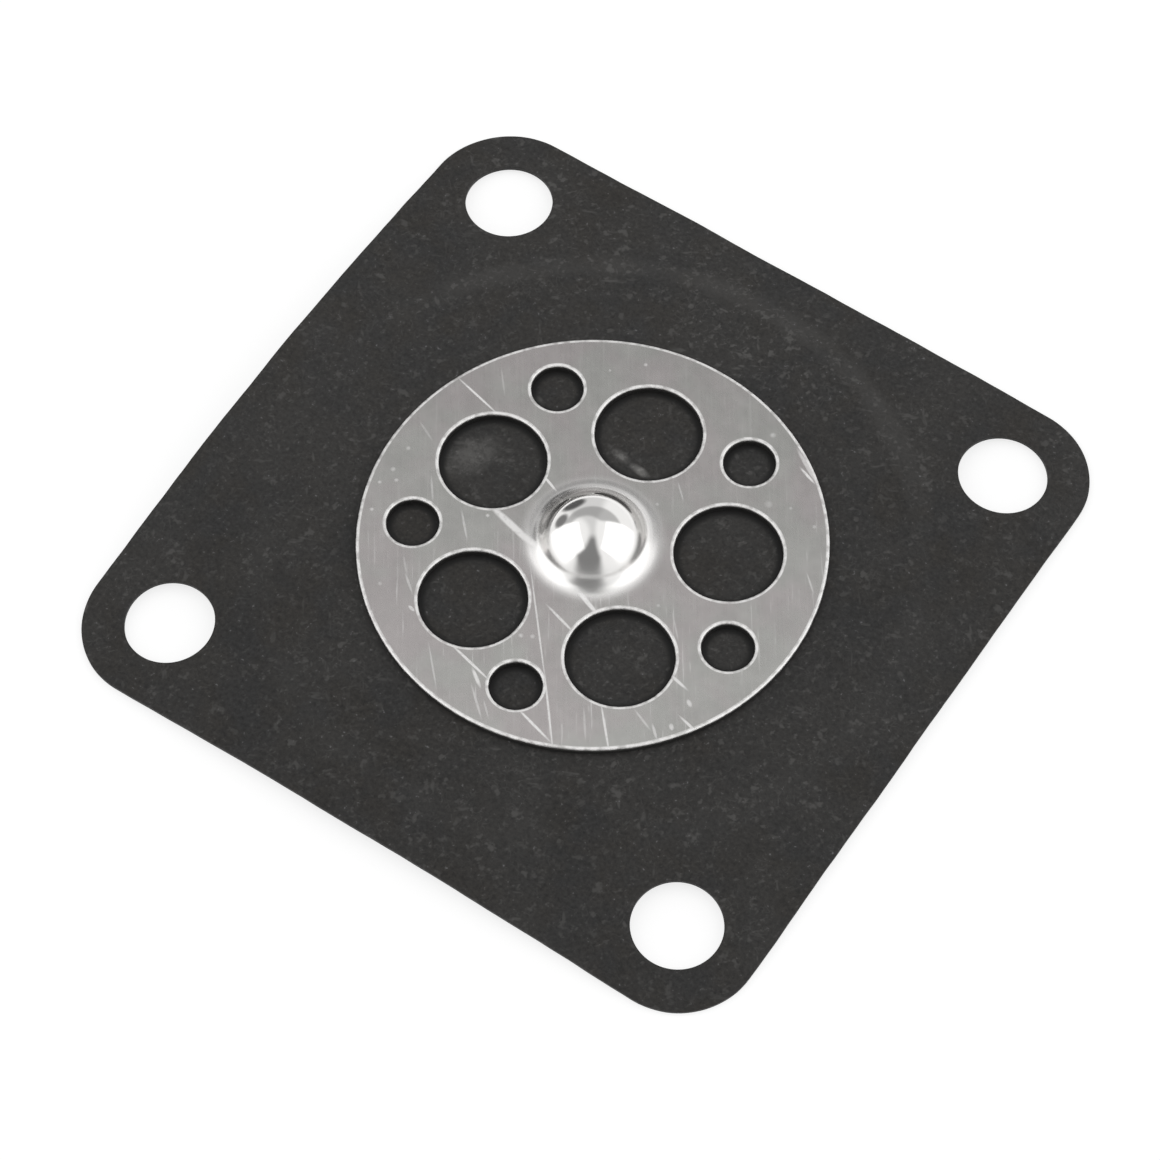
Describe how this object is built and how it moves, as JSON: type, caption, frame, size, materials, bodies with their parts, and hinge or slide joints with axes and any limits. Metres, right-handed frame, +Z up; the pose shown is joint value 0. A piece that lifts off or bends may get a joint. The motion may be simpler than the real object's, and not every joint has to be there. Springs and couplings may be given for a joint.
{
  "type": "carburettor diaphragm",
  "caption": "Square rubberised-fabric diaphragm with rounded corners, screw holes and a bonded perforated aluminium plate that carries a central domed button.",
  "frame": {"origin": "under the middle of the sheet, at the level of the surface that the sheet's corners lie on", "axes": "+Z up through the button, X and Y along the sheet's sides"},
  "size_m": [0.0312, 0.0312, 0.003],
  "materials": {
    "rubberised_fabric": "matte, fine cloth grain",
    "plate_metal": "satin, brushed, scratched"
  },
  "bodies": {
    "root": {"diaphragm_sheet": "rubberised_fabric", "centre_plate": "plate_metal"}
  },
  "joints": []
}
